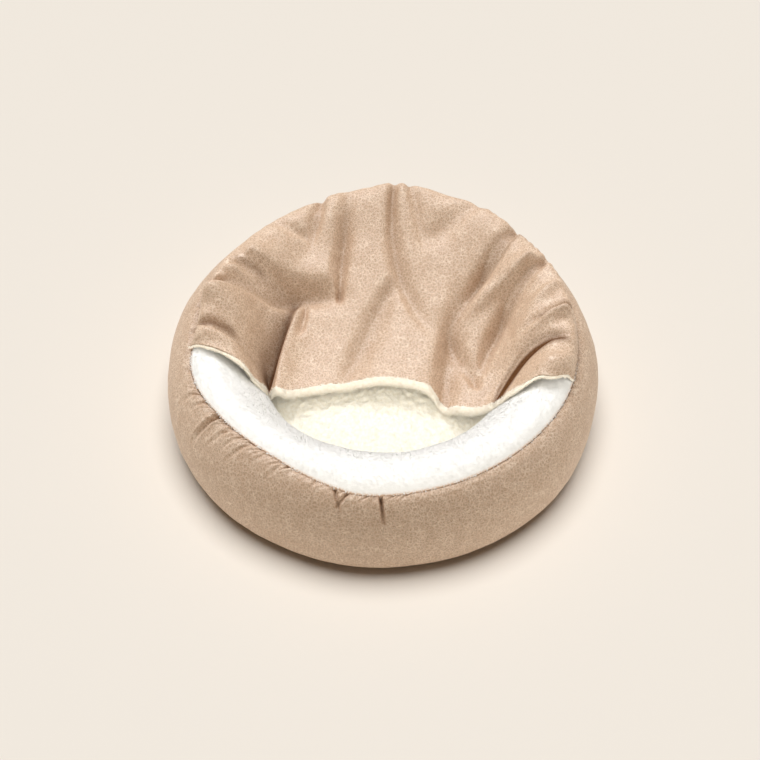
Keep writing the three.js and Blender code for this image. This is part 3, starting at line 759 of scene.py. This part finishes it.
def wall_painted_shade_and_seam(angle, run, pleats, gathers):
    """How dark the wall is, from 0 to 1: painted shade in its pleats and gathers, and the
    dark stitched line, which is darker round the mouth than under the hood."""
    deep = np.clip(pleats / PLEAT_DEEP, 0, 1) ** PLEAT_POWER
    fine = np.clip(gathers / PLEAT_DEEP, 0, 1)
    at_mouth = np.sin(np.radians(angle)) < HOOD_CORNER
    line = np.where(at_mouth, MOUTH_LINE_DARK, WALL_LINE_DARK) * seam_line(run)
    return np.clip(PLEAT_PAINTED_SHADE * deep + GATHER_PAINTED_SHADE * fine + line, 0, 1)


def wall_upper(angle):
    """The wall from the seam to the belt: a quarter of a superellipse, drawn in by the
    pleats, gathers, waves and dents; and its painted shade in the creases, with its dark
    stitched line."""
    seam = seam_value("radius", angle) + SEAM_GAP / 2
    width = OUTER_RADIUS - CROWN_RADIUS
    rise = CROWN_HEIGHT + seam_value("lift", angle) - BELT_HEIGHT
    start = np.arccos(((seam - CROWN_RADIUS) / width) ** (UPPER_ROUND / 2))
    t = np.linspace(0, 1, WALL_UPPER_ROWS)[None, :] ** WALL_ROW_BUNCH
    run = t * (width + rise) * WALL_RUN
    pleats = pleat_depth(angle, t / 2)
    gathers = gather_depth(angle, run, "wall")
    dents = uneven(around(OUTER_RADIUS, angle, DENTS_UPPER * t), WALL_DENTS)
    inset = pleats + gathers - wall_wave(angle, t / 2) + dents
    turn = start * (1 - t)
    radius = np.maximum(CROWN_RADIUS + (width - inset) * np.cos(turn) ** (2 / UPPER_ROUND), seam)
    z = BELT_HEIGHT + (rise - inset) * np.sin(turn) ** (2 / UPPER_ROUND) - seam_dip(radius, angle)
    return around(radius, angle, z), wall_painted_shade_and_seam(angle, run, pleats, gathers)


def wall_lower(angle):
    """The wall from below the belt to the floor: a quarter of a squarer superellipse."""
    width = OUTER_RADIUS - CROWN_RADIUS
    t = np.linspace(0, WALL_LOWER_END, WALL_LOWER_ROWS)[None, 1:]
    turn = t * np.pi / 2
    dents = uneven(around(OUTER_RADIUS, angle, DENTS_UPPER + DENTS_LOWER * t), WALL_DENTS)
    inset = pleat_depth(angle, 0.5 + t / 2) - wall_wave(angle, 0.5 + t / 2) + dents
    radius = CROWN_RADIUS + (width - inset) * np.cos(turn) ** (2 / LOWER_ROUND)
    z = np.maximum(BELT_HEIGHT * (1 - np.sin(turn) ** (2 / LOWER_ROUND)), UNDERSIDE)
    return around(radius, angle, z)


def wall_points():
    """The outer wall, from the seam over the belt to the edge of its flat underside;
    the last square closes it inside the ring."""
    angle = wall_angles()
    upper, upper_shade_and_seam = wall_upper(angle)
    split = np.full_like(angle, SPLIT_RADIUS + SEAM_GAP / 2)
    grid = np.concatenate([upper, wall_lower(angle), around(split, angle, UNDERSIDE)], axis=1)
    creases = np.zeros(grid.shape[:2])
    creases[:, :WALL_UPPER_ROWS] = upper_shade_and_seam
    return grid[::-1], creases[::-1]


def plush_skin(angle, seam):
    """The plush from the seam over the crown to the foot at the seat, raised along its
    normal by soft noise for its uneven filling and pile; and how thin its pile is."""
    t = np.linspace(0, 1, PLUSH_CROWN_ROWS)[None, :-1]
    radius = mix(seam, CROWN_RADIUS, t)
    crown = around(radius, angle, outer_height(radius, angle) - seam_dip(radius, angle))
    thin = seam_line((seam - radius) * SEAM_THIN)
    t = np.linspace(0, 1, PLUSH_SLOPE_ROWS)[None, :]
    radius = mix(CROWN_RADIUS, foot_radius(angle), 1 - (1 - t) ** PLUSH_ROW_BUNCH)
    slope = around(radius, angle, inner_height(radius, angle))
    skin = np.concatenate([crown, slope], axis=1)
    row = np.arange(PLUSH_SKIN_ROWS)
    fade = ease(share(row, 0, PLUSH_FADE_ROWS)) * ease(share(row[::-1], 0, PLUSH_FADE_ROWS))
    puffs = uneven(skin, PLUSH_PUFFS) * fade
    return skin + outward(skin, (True, False)) * puffs[..., None], thin


def plush_points():
    """The plush half of the ring: its skin and its flat underside; the last square
    closes it inside the ring."""
    angle = full_turn(PLUSH_COLUMNS)
    skin, thin_crown = plush_skin(angle, seam_value("radius", angle) - SEAM_GAP / 2)
    foot = around(foot_radius(angle), angle, UNDERSIDE)
    split = around(np.full_like(angle, SPLIT_RADIUS - SEAM_GAP / 2), angle, UNDERSIDE)
    grid = np.concatenate([skin, foot, split], axis=1)
    thin = np.zeros(grid.shape[:2])
    thin[:, :PLUSH_CROWN_ROWS - 1] = thin_crown
    return grid, thin


wall_grid, wall_shade_and_seam = wall_points()
outer_wall = grid_piece("suede_wall", wall_grid, (True, True), SUEDE, wall_shade_and_seam)
plush_grid, plush_thin = plush_points()
plush_ring = grid_piece("plush_bolster", plush_grid, (True, True), PLUSH, plush_thin)


# Seat pad and base panel

SEAT_COLUMNS = 400
SEAT_TOP_ROWS = 78
SEAT_FIRST_RING = 0.012
SEAT_SIDE_ROWS = 16
BASE_COLUMNS = 256
BASE_RIM_ROWS = 9
BASE_RINGS = (0.3, 0.6, 0.9)


def round_piece(name, rings, middles, material):
    """A closed round body from rings of points, its first and last rings closed by
    the two middle points."""
    columns, rows = rings.shape[:2]
    faces = grid_faces(columns, rows, (True, False)).tolist()
    first, last = columns * rows, columns * rows + 1
    i = np.arange(columns)
    right = (i + 1) % columns
    end = rows - 1
    faces += np.stack([right * rows, i * rows, np.full_like(i, first)], -1).tolist()
    faces += np.stack([i * rows + end, right * rows + end, np.full_like(i, last)], -1).tolist()
    vertices = np.concatenate([rings.reshape(-1, 3), middles])
    return make_piece(name, vertices, faces, material)


def seat_points():
    """The seat pad: its crown with two waves and curls of pile, and a side that bulges
    as the power SEAT_BULGE of the distance from half its height."""
    angle = full_turn(SEAT_COLUMNS)
    side = foot_radius(angle) - SEAT_GAP
    k = np.linspace(SEAT_FIRST_RING, 1, SEAT_TOP_ROWS)[None, :]
    radius = k * (side - SEAT_DRAW_IN)
    top = around(radius, angle, seat_height(radius, angle))
    waves = np.sin(top[..., 0] / SEAT_WAVE_X) * np.cos(top[..., 1] / SEAT_WAVE_Y + SEAT_WAVE_SHIFT)
    waves *= SEAT_UNEVEN * (1 - k * k)
    top[..., 2] += waves + uneven(top, SEAT_CURLS) * ease(share(1 - k, 0, SEAT_EDGE_FADE))
    t = np.linspace(0, 1, SEAT_SIDE_ROWS)[None, 1:]
    bulge = SEAT_DRAW_IN * (1 - np.abs(2 * t - 1) ** SEAT_BULGE)
    height = mix(top[:, -1:, 2], UNDERSIDE, t)
    sides = around(side - SEAT_DRAW_IN + bulge, angle, height)
    rings = np.concatenate([top, sides], axis=1)[::-1]
    return rings, np.array([[0, 0, SEAT_CROWN], [0, 0, UNDERSIDE]])


def base_points():
    """The base panel: a thin flat disc with a rounded rim."""
    angle = full_turn(BASE_COLUMNS)
    turn = np.linspace(-np.pi / 2, np.pi / 2, BASE_RIM_ROWS)[None, :]
    rim = BASE_THICKNESS / 2
    flat = np.array(BASE_RINGS)[None, :] * BASE_RADIUS
    lower = around(flat, angle, 0)
    upper = around(flat[:, ::-1], angle, BASE_THICKNESS)
    edge = around(BASE_RADIUS - rim + rim * np.cos(turn), angle, rim + rim * np.sin(turn))
    rings = np.concatenate([lower, edge, upper], axis=1)
    return rings, np.array([[0, 0, 0], [0, 0, BASE_THICKNESS]])


seat_rings, seat_middles = seat_points()
seat = round_piece("sherpa_seat", seat_rings, seat_middles, SHERPA)
base_rings, base_middles = base_points()
base = round_piece("base_cloth", base_rings, base_middles, SUEDE_BASE)


# Hood

HOOD_COLUMNS = 540
HOOD_ROWS = 84
HOOD_ROW_BUNCH = 0.75
HOOD_EDGE_ROWS = 7
RIM_ROWS = 17
RIM_PILE_ROWS = 24


def lining_depth(x, y, run, v):
    """Thickness of the lining: thin in the seam, pressed over the ring, full where it
    hangs free and most of all at the front edge."""
    pressed = ease(share(np.hypot(x, y), FREE_RADIUS, PRESSED_RADIUS))
    full = mix(LINING_THICKNESS, LINING_EDGE_THICKNESS, ease(share(v, EDGE_START, 1)))
    laid = mix(full, LINING_PRESSED_THICKNESS, pressed)
    return mix(LINING_SEAM_THICKNESS, laid, 1 - np.exp(-run / REST_RAMP))


def hood_surface(angle, v):
    """Top face of the hood, v from 0 at the seam to 1 at the front edge. Each column
    runs straight in plan, swells to the crest and sags to the edge, takes the folds
    and gathers, and is kept above what it lies on by soft maxima."""
    radius = seam_value("radius", angle)
    start = around(radius, angle, outer_height(radius, angle) + SEAM_STAND_OFF)
    end = np.stack([column(HOOD_SECTIONS, name, angle) for name in "xyz"], -1)
    x, y = mix(start[..., 0], end[..., 0], v), mix(start[..., 1], end[..., 1], v)
    run = v * np.hypot(end[..., 0] - start[..., 0], end[..., 1] - start[..., 1])
    away = 1 - np.exp(-run / REST_RAMP)
    crest = column(HOOD_SECTIONS, "crest", angle)
    drape = end[..., 2] + (crest - end[..., 2]) * (1 - v) ** HOOD_SAG
    drape = drape - (crest - start[..., 2]) * np.exp(-run / ROLL_OFF)
    depth = lining_depth(x, y, run, v)
    stack = HOOD_THICKNESS + LINING_GAP + depth + REST_CLEARANCE
    lowest = rest_height(x, y) + mix(SEAM_STAND_OFF, stack, away)
    puff = REST_PUFF * away * (1 - ease(share(v, PUFF_FADE, 1)))
    puffed = soft_max(lowest + puff, drape, REST_SOFTNESS * away + LEAST_SOFTNESS)
    gathers = gather_depth(angle, run, "hood") * ease(share(run, 0, HOOD_GATHER_START))
    crumple = uneven(np.stack([x, y, 0 * x], -1), HOOD_CRUMPLE)
    shaped = puffed + (fold_height(x, y) + crumple) * away - gathers
    z = soft_max(lowest, shaped, REST_CONTACT * away + LEAST_SOFTNESS)
    return np.stack([x, y, z], -1), run, depth


def sunk(points, run, angle, depth):
    """Points moved down through the cloth and, near the seam, towards the middle."""
    lean = np.exp(-run / (2 * ROLL_OFF)) * backness(angle)
    size = np.hypot(1, lean)
    radius = np.maximum(np.hypot(points[..., 0], points[..., 1]), 0.001)
    closer = 1 - depth * lean / size / radius
    moved = points * np.stack([closer, closer, np.ones_like(closer)], -1)
    moved[..., 2] -= depth / size
    return moved


def hood_grids():
    """The hood's top and the values at its points; its rows crowd together at the seam
    and at the front edge."""
    t = np.linspace(0, 1, HOOD_ROWS)[None, :]
    angle = np.linspace(HOOD_START, HOOD_END, HOOD_COLUMNS)[:, None]
    angle, v = np.broadcast_arrays(angle, mix(t, ease(t), HOOD_ROW_BUNCH))
    return angle, *hood_surface(angle, v)


def hood_points(angle, run, top):
    """The cloth's closed section, with its top face, a rounded front edge and its lower
    face; its painted shade in the creases, with the dark stitched line; and the level way
    ahead of its edge."""
    bottom = sunk(top, run, angle, HOOD_THICKNESS)
    ahead = unit((top[:, -1:] - top[:, -2:-1]) * (1, 1, 0))
    turn = np.linspace(np.pi / 2, -np.pi / 2, HOOD_EDGE_ROWS)[None, 1:-1, None]
    middle = (top[:, -1:] + bottom[:, -1:]) / 2
    up = (top[:, -1:] - bottom[:, -1:]) / 2
    nose = middle + up * np.sin(turn) + ahead * HOOD_THICKNESS / 2 * np.cos(turn)
    section = np.concatenate([top, nose, bottom[:, ::-1]], axis=1)
    crease = fold_painted_shade(section[..., 0], section[..., 1])
    crease[:, :HOOD_ROWS] = np.maximum(crease[:, :HOOD_ROWS], HOOD_LINE_DARK * seam_line(run))
    return section, crease, ahead


def capped(name, section_grid, material, shading=None):
    """A grid of closed sections along a run, with one face at each of its ends."""
    columns, rows = section_grid.shape[:2]
    first = list(range(rows))
    last = [(columns - 1) * rows + row for row in reversed(first)]
    return grid_piece(name, section_grid, (False, True), material, shading, [first, last])


def rim_points(top, upper, lower, ahead, full):
    """The lining's rim: it rises in front of the cloth's edge and rounds over as part
    of a superellipse. It is low where full is 0."""
    down = HOOD_THICKNESS + LINING_GAP
    front = HOOD_THICKNESS / 2 + LINING_GAP
    foot = upper[:, -1:] + ahead * front
    rim = top[:, -1:] + ahead * front
    rim[..., 2:] -= mix(RIM_CORNER_DROP * down, RIM_DROP, full)
    base = lower[:, -1:] + ahead * front
    base[..., 2:] -= RIM_HANG * full
    turn = np.linspace(np.pi / 2, -np.pi / 2, RIM_ROWS)[None, :, None]
    middle, half = (rim + base) / 2, (rim - base) / 2
    up = np.sign(np.sin(turn)) * np.abs(np.sin(turn)) ** RIM_ROUND_UP
    out = np.abs(np.cos(turn)) ** RIM_ROUND_OUT
    reach = mix(RIM_CORNER_REACH, RIM_REACH, full)
    nose = middle + half * up + ahead * (reach - front) * out
    return np.concatenate([foot, nose], axis=1)


def lining_points(angle, run, top, depth, ahead):
    """The lining's closed section: its upper face under the hood, its rim and its lower
    face, with curls of pile on the last two."""
    down = HOOD_THICKNESS + LINING_GAP
    upper = sunk(top, run, angle, down)[:, 1:]
    lower = sunk(top, run, angle, down + depth)[:, 1::2]
    from_end = np.minimum(angle[:, -1:] - HOOD_START, HOOD_END - angle[:, -1:])[..., None]
    full = ease(share(from_end, RIM_START, RIM_FULL))
    rim = rim_points(top, upper, lower, ahead, full)
    section = np.concatenate([upper, rim, lower[:, ::-1]], axis=1)
    curled = np.zeros(section.shape[1])
    curled[HOOD_ROWS:] = 1
    curls = uneven(section, RIM_CURLS) * curled * mix(RIM_CORNER_CURLS, 1.0, full)[..., 0]
    return section + outward(section, (False, True)) * curls[..., None]


hood_angle, hood_top, hood_run, hood_depth = hood_grids()
hood_section, hood_shade_and_seam, hood_ahead = hood_points(hood_angle, hood_run, hood_top)
hood = capped("suede_hood", hood_section[::-1], SUEDE, hood_shade_and_seam[::-1])
lining_section = lining_points(hood_angle, hood_run, hood_top, hood_depth, hood_ahead)
lining = capped("sherpa_lining", lining_section[::-1], PAINTED_LIGHT_LINING_SHERPA)


# Pile and stitches. Tufts: their number, length, width and seed, and how each stands,
# in shares of its length

PLUSH_TUFTS = (42000, 0.0032, 0.0008, 51)
SEAT_TUFTS = (26000, 0.0030, 0.0009, 53)
RIM_TUFTS = (22000, 0.0030, 0.0007, 55)
TUFT_LENGTHS = (0.5, 1.2)
TUFT_ROOT = 0.0003
TUFT_MIDDLE_UP = 0.35
TUFT_MIDDLE_OVER = 0.45
TUFT_MIDDLE_WIDTH = 0.8
TUFT_TIP_UP = 0.5
TUFT_TIP_OVER = (0.8, 1.2)
MOUTH_LINE = -0.02
HIDDEN_PILE = 0.15
STITCH_STEP = 1.2
STITCH_RUN = 0.0022
STITCH_LENGTH = 0.0030
STITCH_WIDTH = 0.0009
STITCH_LOOK = 0.1
BEAD_ROWS = 7
BEAD_COLUMNS = 8


def scatter(grid, wraps, count, seed, keep):
    """Random points on a grid of points, evenly by area, with their outward normals;
    keep gives the share that stays, from a point's place."""
    rng = np.random.default_rng(seed)
    normals = outward(grid, wraps)
    across, along = grid[1:, :-1] - grid[:-1, :-1], grid[:-1, 1:] - grid[:-1, :-1]
    area = np.linalg.norm(np.cross(across, along), axis=-1)
    chance = area * keep(grid[:-1, :-1])
    picked = rng.choice(chance.size, count, p=(chance / chance.sum()).ravel())
    i, j = np.unravel_index(picked, chance.shape)
    a, b = rng.random((2, count, 1))
    return grid[i, j] + across[i, j] * a + along[i, j] * b, normals[i, j]


def pile_piece(name, grid, wraps, tufts, keep, material):
    """Tufts of pile: each is a narrow blade from just under the surface that leans
    over to a random side, ends in a point and has the surface's normals."""
    count, length, width, seed = tufts
    points, normals = scatter(grid, wraps, count, seed, keep)
    rng = np.random.default_rng(seed + 1)
    lean = rng.normal(size=(count, 3))
    lean = unit(lean - normals * (lean * normals).sum(axis=1, keepdims=True))
    half = np.cross(normals, lean) * width / 2
    slim = TUFT_MIDDLE_WIDTH * half
    size = length * rng.uniform(*TUFT_LENGTHS, (count, 1))
    over = rng.uniform(*TUFT_TIP_OVER, (count, 1))
    root = points - normals * TUFT_ROOT
    middle = points + (normals * TUFT_MIDDLE_UP + lean * TUFT_MIDDLE_OVER) * size
    tip = points + (normals * TUFT_TIP_UP + lean * over) * size
    blade = np.stack([root - half, root + half, middle + slim, middle - slim, tip], 1)
    first = np.arange(count)[:, None] * blade.shape[1]
    faces = (first + [3, 2, 1, 0]).tolist() + (first + [4, 2, 3]).tolist()
    piece = make_piece(name, blade.reshape(-1, 3), faces, material)
    piece.data.normals_split_custom_set_from_vertices(np.repeat(normals, blade.shape[1], axis=0))
    return piece


def in_the_open(place):
    """More pile where it shows, less under the hood."""
    return np.where(place[..., 1] < MOUTH_LINE, 1.0, HIDDEN_PILE)


def thread_points(angle, run):
    """Points on the hood's top at a distance from its seam."""
    end = np.stack([column(HOOD_SECTIONS, name, angle) for name in "xy"], -1)
    start = around(seam_value("radius", angle), angle, 0)[..., :2]
    return hood_surface(angle, run / np.linalg.norm(end - start, axis=-1))[0]


def stitch_places():
    """Where the stitches lie, and the ways along the seam, across it and up there."""
    at = np.arange(HOOD_START + 1, HOOD_END - 1, STITCH_STEP)
    place = thread_points(at, STITCH_RUN)
    before, after = (thread_points(at + step, STITCH_RUN) for step in (-STITCH_LOOK, STITCH_LOOK))
    along = unit(after - before)
    up = np.cross(unit(place * (1, 1, 0)), along)
    up *= np.sign(up[:, 2:])
    return place, along, np.cross(up, along), up


def stitch_piece():
    """The hood's row of stitches: small beads of thread lying along the seam."""
    t = np.linspace(0, np.pi, BEAD_ROWS)[:, None]
    turn = np.linspace(0, 2 * np.pi, BEAD_COLUMNS, endpoint=False)[None, :]
    wide = np.sin(t) * STITCH_WIDTH / 2
    shape = np.stack(np.broadcast_arrays(np.cos(t) * STITCH_LENGTH / 2,
                                         wide * np.cos(turn), wide * np.sin(turn)), -1)
    vertices, faces = [], []
    squares = grid_faces(BEAD_COLUMNS, BEAD_ROWS, (True, False))
    for middle, *axes in zip(*stitch_places()):
        bead = middle + shape @ np.array(axes)
        faces += (squares + len(vertices) * BEAD_ROWS * BEAD_COLUMNS).tolist()
        vertices.append(bead.transpose(1, 0, 2).reshape(-1, 3))
    return make_piece("seam_thread", np.concatenate(vertices), faces, THREAD)


plush_pile = pile_piece("plush_pile", plush_grid[:, :PLUSH_SKIN_ROWS], (True, False),
                        PLUSH_TUFTS, in_the_open, PLUSH)
seat_pile = pile_piece("seat_pile", seat_rings[:, :SEAT_TOP_ROWS], (True, False),
                       SEAT_TUFTS, in_the_open, SHERPA)
rim_rows = lining_section[:, HOOD_ROWS:HOOD_ROWS + RIM_PILE_ROWS]
lining_pile = pile_piece("lining_pile", rim_rows, (False, False), RIM_TUFTS,
                         lambda place: 1.0, PAINTED_LIGHT_LINING_SHERPA)
seam_thread = stitch_piece()


# Nodes: each piece hangs from the root, and the node it stands for is hidden

for piece, node, slot in (
    (outer_wall, "outer_wall", "suede_tan"),
    (plush_ring, "plush_ring", "plush_white"),
    (seat, "seat_pad", "sherpa_cream"),
    (base, "base_panel", "suede_base"),
    (hood, "hood", "suede_tan"),
    (lining, "hood_lining", "sherpa_cream"),
):
    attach(piece, "root")
    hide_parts(node)

for piece, slot in (
    (plush_pile, "plush_white"),
    (seat_pile, "sherpa_cream"),
    (lining_pile, "sherpa_cream"),
    (seam_thread, "suede_tan"),
):
    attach(piece, "root")


# Floor, light and camera

FLOOR_COLOUR = (0.755, 0.70, 0.628)
CAMERA_PLACE = Vector((0.15042, -1.46368, 1.73024))
CAMERA_AIM = Vector((-0.001657, -0.016765, 0.080))
PHOTO_SIZE = 760
FOCAL_PIXELS = 1580
SENSOR_WIDTH = 36.0
FLOOR_HALF = 9.0
FLOOR_DROP = 0.0003
SKY_COLOUR = (1.0, 0.98, 0.95)
SKY_STRENGTH = 0.03
WHITE = (1.0, 1.0, 1.0)

# Soft lights: the way to each, its spread in degrees, its strength and colour, and the
# group of pieces it lights, as a studio flags its lamps
LIGHTS = (
    ("floor_light", (0, 0, 1), 40, 3.55, WHITE, "floor"),
    ("dome_light", (0, 0, 1), 172, 1.18, (1, 0.905, 0.795), "bed"),
    ("back_light", (-0.22, 0.45, 0.87), 30, 2.0, (0.98, 1, 1.06), "bed"),
    ("hood_light", (0, -0.1, 1), 80, 0.52, WHITE, "hood"),
    ("left_light", (-0.9, 0, 0.43), 50, 0.5, WHITE, "bed"),
    ("right_light", (0.9, 0, 0.43), 50, 0.62, WHITE, "bed"),
    ("pile_light", (0, -0.8, 0.6), 110, 1.42, (1, 0.975, 0.93), "pile"),
    ("seat_light", (0, -0.8, 0.6), 70, 2.0, (1, 0.93, 0.8), "seat"),
    ("lining_light", (0, -0.9, 0.44), 90, 1.75, (1, 0.95, 0.86), "lining"),
)


def add_floor():
    floor_material = new_material("studio_floor", FLOOR_COLOUR, 0.95)[0]
    corners = [(x * FLOOR_HALF, y * FLOOR_HALF, 0) for x, y in ((-1, -1), (1, -1), (1, 1), (-1, 1))]
    floor = make_piece("studio_floor", corners, [(0, 1, 2, 3)], floor_material)
    floor.location.z = -FLOOR_DROP
    floor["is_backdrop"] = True
    return floor


def add_lights(lit):
    """A soft sun for each row of LIGHTS. lit holds the pieces of each group, and under
    its name with _shadows those that throw shadows in its light."""
    groups = {}
    for name, objects in lit.items():
        groups[name] = bpy.data.collections.new("lit_" + name)
        for piece in objects:
            groups[name].objects.link(piece)
    for name, way, spread, strength, colour, group in LIGHTS:
        light = bpy.data.lights.new(name, "SUN")
        light.angle = np.radians(spread)
        light.energy = strength
        light.color = colour
        lamp = put(name, light)
        lamp.rotation_euler = Vector(way).to_track_quat("Z", "Y").to_euler()
        lamp.light_linking.receiver_collection = groups[group]
        if group + "_shadows" in groups:
            lamp.light_linking.blocker_collection = groups[group + "_shadows"]


def add_camera():
    data = bpy.data.cameras.new("photo_view")
    data.sensor_width = SENSOR_WIDTH
    data.lens = FOCAL_PIXELS * SENSOR_WIDTH / PHOTO_SIZE
    camera = put("photo_view", data)
    camera.location = CAMERA_PLACE
    camera.rotation_euler = (CAMERA_AIM - CAMERA_PLACE).to_track_quat("-Z", "Y").to_euler()
    bpy.context.scene.camera = camera


def add_world():
    world = bpy.data.worlds.new("studio_air")
    world.use_nodes = True
    sky = world.node_tree.nodes["Background"]
    sky.inputs["Color"].default_value = (*SKY_COLOUR, 1)
    sky.inputs["Strength"].default_value = SKY_STRENGTH
    bpy.context.scene.world = world
    bpy.context.scene.view_settings.view_transform = "Standard"


studio_floor = add_floor()
add_lights({
    "floor": [studio_floor],
    "bed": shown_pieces(),
    "pile": [plush_ring, plush_pile, seat, seat_pile, lining, lining_pile],
    "pile_shadows": [plush_ring, seat],
    "seat": [seat, seat_pile],
    "seat_shadows": [seat],
    "hood": [hood],
    "lining": [lining, lining_pile],
})
add_world()
add_camera()
